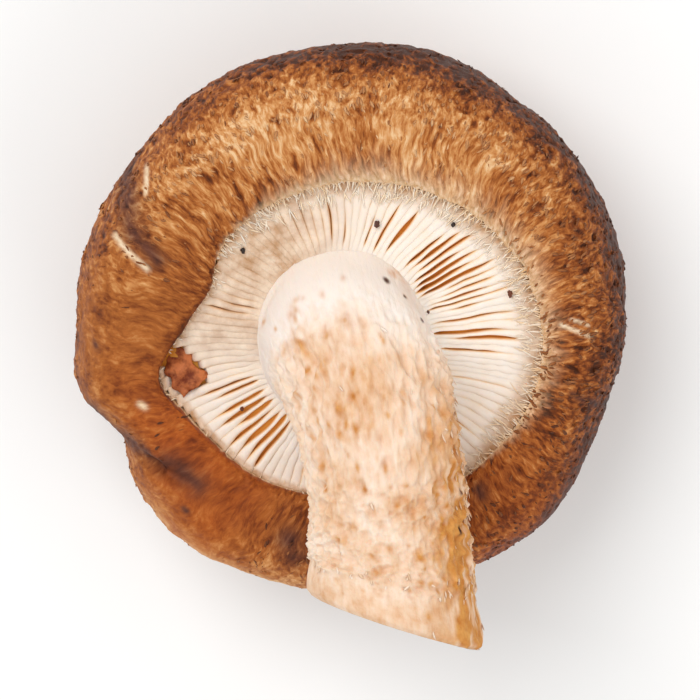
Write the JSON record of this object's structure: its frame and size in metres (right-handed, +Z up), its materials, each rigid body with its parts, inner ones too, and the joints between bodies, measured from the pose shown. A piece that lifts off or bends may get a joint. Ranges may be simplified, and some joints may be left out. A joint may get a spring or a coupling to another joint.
{
  "type": "shiitake mushroom",
  "caption": "Fresh shiitake mushroom lying on its domed cap, with a rolled brown margin, pale gills and a thick stem bent over to one side.",
  "frame": {"origin": "on the surface that the mushroom lies on, under the middle of its bounding box", "axes": "+Z up from that surface, -Y the way the bent stem points, +X to the right of someone whom the stem points at"},
  "size_m": [0.064, 0.0674, 0.0478],
  "materials": {
    "cap_skin": "satin",
    "gill_flesh": "matte",
    "stem_flesh": "matte"
  },
  "bodies": {
    "root": {"cap": "cap_skin", "gills": "gill_flesh", "stem": "stem_flesh"}
  },
  "joints": []
}
